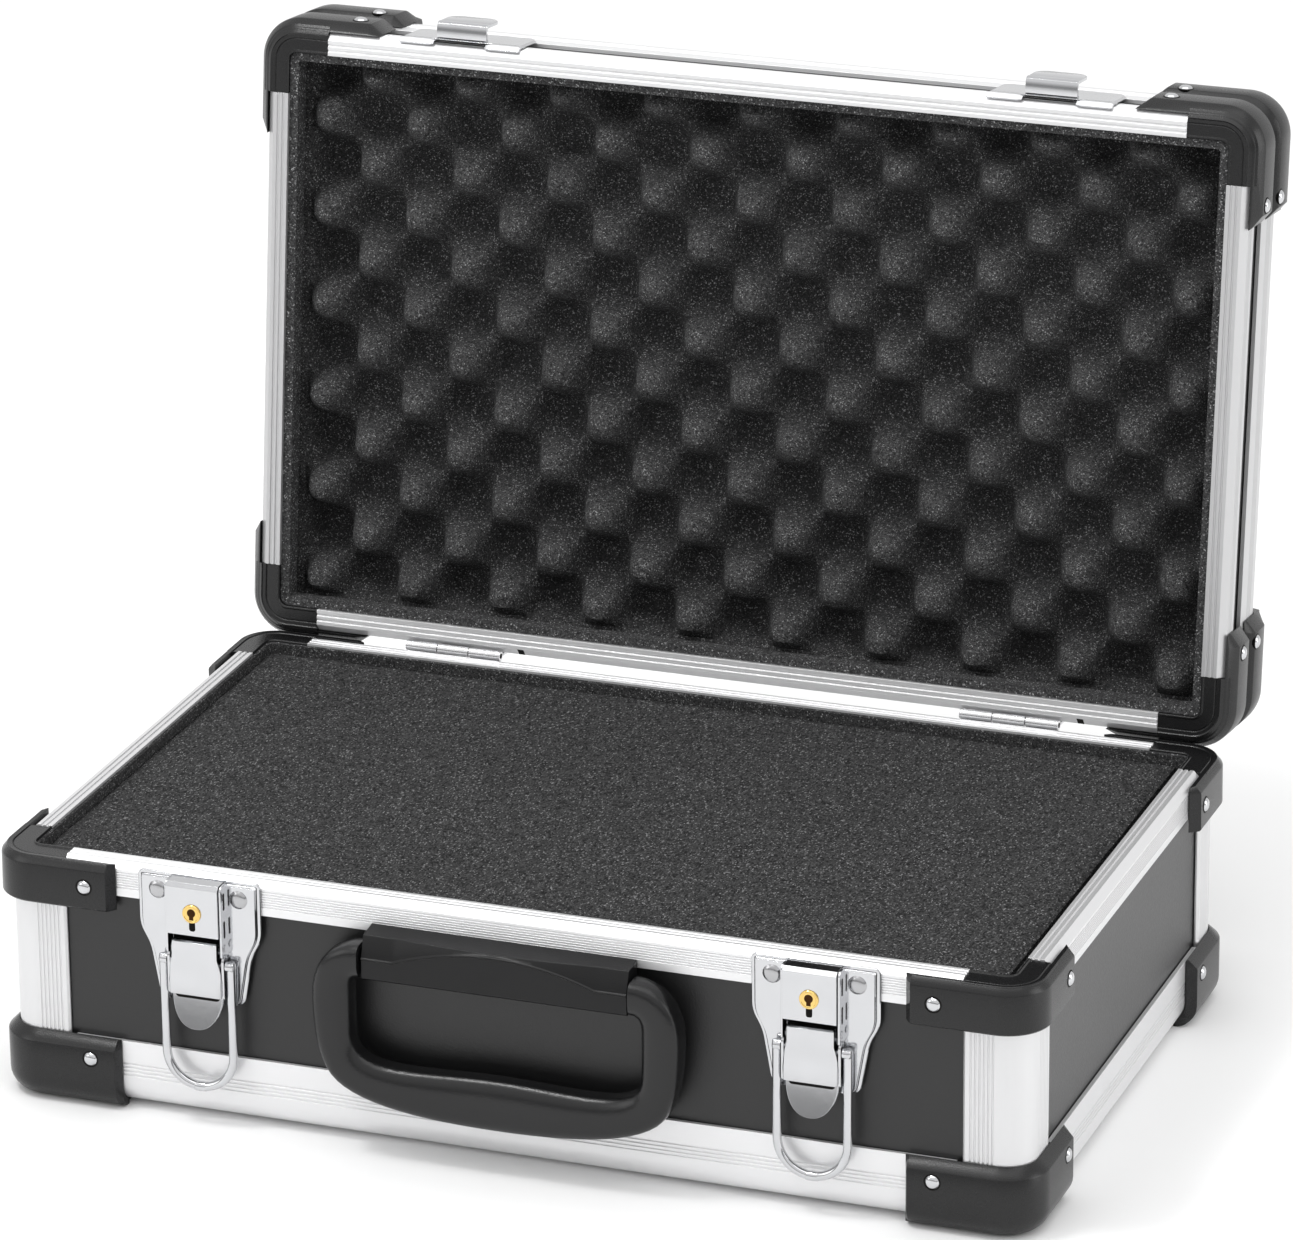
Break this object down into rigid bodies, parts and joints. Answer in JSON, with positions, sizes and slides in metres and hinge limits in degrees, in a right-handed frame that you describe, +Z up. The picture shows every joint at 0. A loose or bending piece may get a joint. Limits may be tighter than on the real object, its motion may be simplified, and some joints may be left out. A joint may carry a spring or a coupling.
{
  "type": "aluminum attache case",
  "caption": "Open aluminium-framed carrying case with black boards, moulded corner caps, two locking draw latches, a swinging grip and foam lining.",
  "frame": {"origin": "on the floor, under the centre of the open case's bounding box", "axes": "+Z up, -Y towards the front with the latches and grip, +X to the right seen from the front"},
  "size_m": [0.368, 0.2988, 0.3143],
  "materials": {
    "aluminium": "satin",
    "board": "matte",
    "black_plastic": "satin",
    "chrome": "polished",
    "hinge_steel": "satin",
    "brass": "polished",
    "foam": "matte"
  },
  "bodies": {
    "base": {"base_board_front": "board", "base_board_back": "board", "base_board_left": "board", "base_board_right": "board", "base_board_bottom": "board", "base_rim_front": "aluminium", "base_rim_back": "aluminium", "base_rim_left": "aluminium", "base_rim_right": "aluminium", "base_edge_front": "aluminium", "base_edge_back": "aluminium", "base_edge_left": "aluminium", "base_edge_right": "aluminium", "base_post_front_left": "aluminium", "base_post_front_right": "aluminium", "base_post_back_left": "aluminium", "base_post_back_right": "aluminium", "base_rim_cap_front_left": "black_plastic", "base_rim_cap_front_right": "black_plastic", "base_rim_cap_back_left": "black_plastic", "base_rim_cap_back_right": "black_plastic", "foot_cap_front_left": "black_plastic", "foot_cap_front_right": "black_plastic", "foot_cap_back_left": "black_plastic", "foot_cap_back_right": "black_plastic", "base_foam": "foam", "handle_bracket": "black_plastic", "latch_plate_left": "chrome", "latch_plate_right": "chrome", "hinge_base_leaf_left": "hinge_steel", "hinge_base_leaf_right": "hinge_steel"},
    "lid": {"lid_shell": "board", "lid_rim_front": "aluminium", "lid_rim_back": "aluminium", "lid_rim_left": "aluminium", "lid_rim_right": "aluminium", "lid_edge_front": "aluminium", "lid_edge_back": "aluminium", "lid_edge_left": "aluminium", "lid_edge_right": "aluminium", "lid_rim_cap_front_left": "black_plastic", "lid_rim_cap_front_right": "black_plastic", "lid_rim_cap_back_left": "black_plastic", "lid_rim_cap_back_right": "black_plastic", "lid_edge_cap_front_left": "black_plastic", "lid_edge_cap_front_right": "black_plastic", "lid_edge_cap_back_left": "black_plastic", "lid_edge_cap_back_right": "black_plastic", "lid_foam": "foam", "strike_plate_left": "chrome", "strike_plate_right": "chrome", "hinge_lid_leaf_left": "hinge_steel", "hinge_lid_leaf_right": "hinge_steel"},
    "grip": {"handle_grip": "black_plastic"},
    "lever_left": {"latch_lever_left": "chrome"},
    "bail_left": {"latch_bail_left": "chrome"},
    "lock_left": {"lock_cylinder_left": "brass"},
    "lever_right": {"latch_lever_right": "chrome"},
    "bail_right": {"latch_bail_right": "chrome"},
    "lock_right": {"lock_cylinder_right": "brass"}
  },
  "joints": [
    {"name": "lid_hinge", "type": "hinge", "parent": "base", "child": "lid", "pos_m": [0, 0.08183, 0.09015], "axis": [1, 0, 0], "range_deg": [0, 96.59]},
    {"name": "grip_swing", "type": "hinge", "parent": "base", "child": "grip", "pos_m": [0, -0.14222, 0.072], "axis": [-1, 0, 0], "range_deg": [0, 90]},
    {"name": "lever_left", "type": "hinge", "parent": "base", "child": "lever_left", "pos_m": [-0.108, -0.14122, 0.066], "axis": [1, 0, 0], "range_deg": [-90, 0]},
    {"name": "bail_left", "type": "hinge", "parent": "lever_left", "child": "bail_left", "pos_m": [-0.108, -0.14102, 0.0595], "axis": [-1, 0, 0], "range_deg": [0, 180]},
    {"name": "key_left", "type": "hinge", "parent": "base", "child": "lock_left", "pos_m": [-0.108, -0.14252, 0.0782], "axis": [0, 1, 0], "range_deg": [0, 90]},
    {"name": "lever_right", "type": "hinge", "parent": "base", "child": "lever_right", "pos_m": [0.108, -0.14122, 0.066], "axis": [1, 0, 0], "range_deg": [-90, 0]},
    {"name": "bail_right", "type": "hinge", "parent": "lever_right", "child": "bail_right", "pos_m": [0.108, -0.14102, 0.0595], "axis": [-1, 0, 0], "range_deg": [0, 180]},
    {"name": "key_right", "type": "hinge", "parent": "base", "child": "lock_right", "pos_m": [0.108, -0.14252, 0.0782], "axis": [0, 1, 0], "range_deg": [0, 90]}
  ]
}
